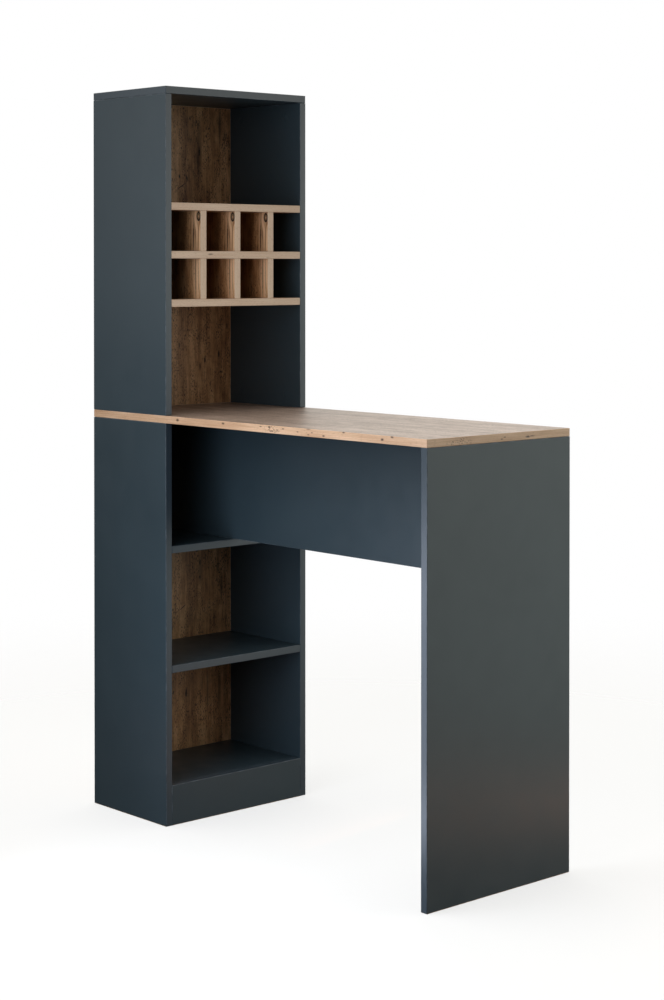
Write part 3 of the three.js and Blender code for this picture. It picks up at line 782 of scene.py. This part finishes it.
worktop_tones = (WORKTOP_DARK, WORKTOP_MID, WORKTOP_LIGHT)
worktop_face = rustic_oak("rustic_oak_laminate", worktop_tones, WORKTOP_DEEP, ())
worktop_band_tones = (OAK_BAND_DARK, WORKTOP_BAND_MID, WORKTOP_BAND_LIGHT)
worktop_knots = edge_spots(NEAR_EDGE_KNOTS, END_EDGE_KNOTS)
worktop_specks = edge_spots(NEAR_EDGE_SPECKS, END_EDGE_SPECKS)
worktop_band = oak_edge("knotty_oak_abs_edge_band", worktop_band_tones, worktop_knots, worktop_specks)
make_board(
    "worktop",
    (-COUNTER_END, -COUNTER_HALF, WORKTOP_UNDERSIDE),
    (COUNTER_END, COUNTER_HALF, WORKTOP_TOP),
    (worktop_face, worktop_band, bare_chipboard),
    grain=0,
    sheet_place=WORKTOP_SHEET,
)

# End panel and apron: anthracite board. The end panel carries the worktop's free end, and the apron
# stands on edge under the worktop's middle, from the cabinet's back to the end panel.
APRON_FOOT = 0.682
make_board(
    "end_panel",
    (COUNTER_END - BOARD, -COUNTER_HALF, 0.0),
    (COUNTER_END, COUNTER_HALF, WORKTOP_UNDERSIDE - JOINT),
    anthracite,
    raw_foot=True,
)
make_board(
    "apron_panel",
    (SHELF_REAR, -BOARD / 2, APRON_FOOT),
    (COUNTER_END - BOARD, BOARD / 2, WORKTOP_UNDERSIDE),
    anthracite,
    grain=0,
)

# Upper cabinet: two anthracite sides on the worktop, an oak back between them and an anthracite top
# board over them, drawn together by cams and dowels.
UPPER_TOP = 1.782
make_board(
    "left_upper_side",
    (CABINET_REAR, -COUNTER_HALF, WORKTOP_TOP + JOINT),
    (CABINET_FRONT, -INNER_HALF, UPPER_TOP - JOINT),
    anthracite,
)
make_board(
    "right_upper_side",
    (CABINET_REAR, INNER_HALF, WORKTOP_TOP + JOINT),
    (CABINET_FRONT, COUNTER_HALF, UPPER_TOP - JOINT),
    anthracite,
)
make_board(
    "upper_back_panel",
    (CABINET_REAR, -INNER_HALF, WORKTOP_TOP),
    (SHELF_REAR, INNER_HALF, UPPER_TOP),
    oak,
    sheet_place=UPPER_BACK_SHEET,
)
make_board(
    "top_panel",
    (CABINET_REAR, -COUNTER_HALF, UPPER_TOP),
    (CABINET_FRONT, COUNTER_HALF, UPPER_TOP + BOARD),
    anthracite,
    grain=1,
)

# Bottle rack: three oak boards between the upper sides, and six short oak dividers dowelled between
# them. The dividers of a row are cut side by side from the same print, so they show the same figure.
RACK_LEVELS = {"rack_board_lower": 1.264, "rack_board_middle": 1.382, "rack_board_upper": 1.5}
RACK_SHEET = (8.0, 2.1)
RACK_SHEET_STEP = (0.63, 0.4)
CELL_HEIGHT = 0.1
DIVIDER_PITCH = 0.108

for index, (rack_board, level) in enumerate(RACK_LEVELS.items()):
    make_board(
        rack_board,
        (SHELF_REAR, -INNER_HALF, level),
        (CABINET_FRONT, INNER_HALF, level + BOARD),
        oak,
        grain=1,
        sheet_place=np.array(RACK_SHEET) + index * np.array(RACK_SHEET_STEP),
    )
for row, floor_board in (("lower", "rack_board_lower"), ("upper", "rack_board_middle")):
    foot = RACK_LEVELS[floor_board] + BOARD
    for number in (1, 2, 3):
        middle = (number - 2) * DIVIDER_PITCH
        make_board(
            f"rack_divider_{row}_{number}",
            (SHELF_REAR, middle - BOARD / 2, foot),
            (CABINET_FRONT, middle + BOARD / 2, foot + CELL_HEIGHT),
            oak,
            sheet_place=LOWER_DIVIDER_SHEET if row == "lower" else UPPER_DIVIDER_SHEET,
        )

# Cams and bolts: die-cast zinc cams and turned steel bolts, hidden inside the boards.
# Each cam is covered by a thin stick-on disc of the board's own melamine, so the faces look plain.
CAP_RADIUS = 9.0e-3
CAP_THICK = 0.35e-3
CAP_EASE = 0.2e-3
CAP_SPOKES = 48
CAP_SHARP_FROM = 40.0
ZINC_GREY = "a8a9a6"
STEEL_GREY = "bfc1c2"

# The face that a cam lies flush in, by a part of its node's name: the axis and the way it faces.
CAP_FACES = {
    "shelf_": (2, -1.0),
    "end_": (0, -1.0),
    "apron_": (1, 1.0),
    "_left_": (1, 1.0),
    "_right_": (1, -1.0),
}


def cap_surface(centre, axis, facing):
    """A thin disc turned about an axis: its section runs from the rim's foot up over a quarter-circle edge,
    each point of it goes round a full turn, and two flat faces close it."""
    turn = np.linspace(0.0, np.pi / 2.0, 4)
    radius = CAP_RADIUS - CAP_EASE + CAP_EASE * np.cos(turn)
    height = CAP_THICK - CAP_EASE + CAP_EASE * np.sin(turn)
    radius = np.concatenate([[CAP_RADIUS], radius])
    height = np.concatenate([[0.0], height])
    round_turn = np.linspace(0.0, 2.0 * np.pi, CAP_SPOKES, endpoint=False) * facing
    points = np.zeros((len(radius), CAP_SPOKES, 3))
    points[..., (axis + 1) % 3] = radius[:, None] * np.cos(round_turn)
    points[..., (axis + 2) % 3] = radius[:, None] * np.sin(round_turn)
    points[..., axis] = facing * height[:, None]
    ring, spoke = np.meshgrid(np.arange(len(radius) - 1), np.arange(CAP_SPOKES), indexing="ij")
    following = (spoke + 1) % CAP_SPOKES
    corners = [ring * CAP_SPOKES + spoke, ring * CAP_SPOKES + following]
    corners += [(ring + 1) * CAP_SPOKES + following, (ring + 1) * CAP_SPOKES + spoke]
    quads = np.stack(corners, axis=-1).reshape(-1, 4).tolist()
    loop = np.arange(CAP_SPOKES)
    ends = [loop[::-1].tolist(), (loop + (len(radius) - 1) * CAP_SPOKES).tolist()]
    return points.reshape(-1, 3) + np.array(centre), quads + ends


# Die-cast zinc: dull grey metal with the fine grain of the mould.
zinc, tree = new_material("die_cast_zinc")
place = add_node(tree, "TexCoord").outputs["Object"]
cast = add_node(tree, "TexNoise", {"Vector": place, "Scale": 1.0 / 0.0008, "Detail": 2.0})
rough = add_node(tree, "MapRange", {"Value": cast, "To Min": 0.35, "To Max": 0.6})
relief = add_node(tree, "Bump", {"Height": cast, "Strength": 0.3, "Distance": 0.0001})
shader = add_node(
    tree,
    "BsdfPrincipled",
    {"Base Color": paint(ZINC_GREY), "Metallic": 1.0, "Roughness": rough, "Normal": relief},
)
add_node(tree, "OutputMaterial", {"Surface": shader})

# Zinc-plated steel: turned, then plated, so it is brighter and smoother than the cams.
steel, tree = new_material("zinc_plated_steel")
place = add_node(tree, "TexCoord").outputs["Object"]
plate = add_node(tree, "TexNoise", {"Vector": place, "Scale": 1.0 / 0.003, "Detail": 3.0})
rough = add_node(tree, "MapRange", {"Value": plate, "To Min": 0.22, "To Max": 0.4})
shader = add_node(
    tree,
    "BsdfPrincipled",
    {"Base Color": paint(STEEL_GREY), "Metallic": 1.0, "Roughness": rough},
)
add_node(tree, "OutputMaterial", {"Surface": shader})

for node in sorted(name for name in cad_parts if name.endswith(("_cam", "_bolt"))):
    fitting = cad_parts[node]
    fitting.data.materials.clear()
    fitting.data.materials.append(zinc if node.endswith("_cam") else steel)
    if node.endswith("_bolt"):
        continue
    low, high = (np.array(corner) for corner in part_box(node))
    axis, facing = next(CAP_FACES[part] for part in CAP_FACES if part in node)
    centre = (low + high) / 2.0
    centre[axis] = high[axis] if facing > 0 else low[axis]
    points, faces = cap_surface(centre, axis, facing)
    mesh = bpy.data.meshes.new(node + "_cap")
    mesh.from_pydata(points.tolist(), [], faces)
    mesh.polygons.foreach_set("use_smooth", np.ones(len(faces), bool))
    mesh.set_sharp_from_angle(angle=math.radians(CAP_SHARP_FROM))
    mesh.materials.append(anthracite_face)
    cap = bpy.data.objects.new(node + "_cap", mesh)
    bpy.context.collection.objects.link(cap)
    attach(cap, "root")
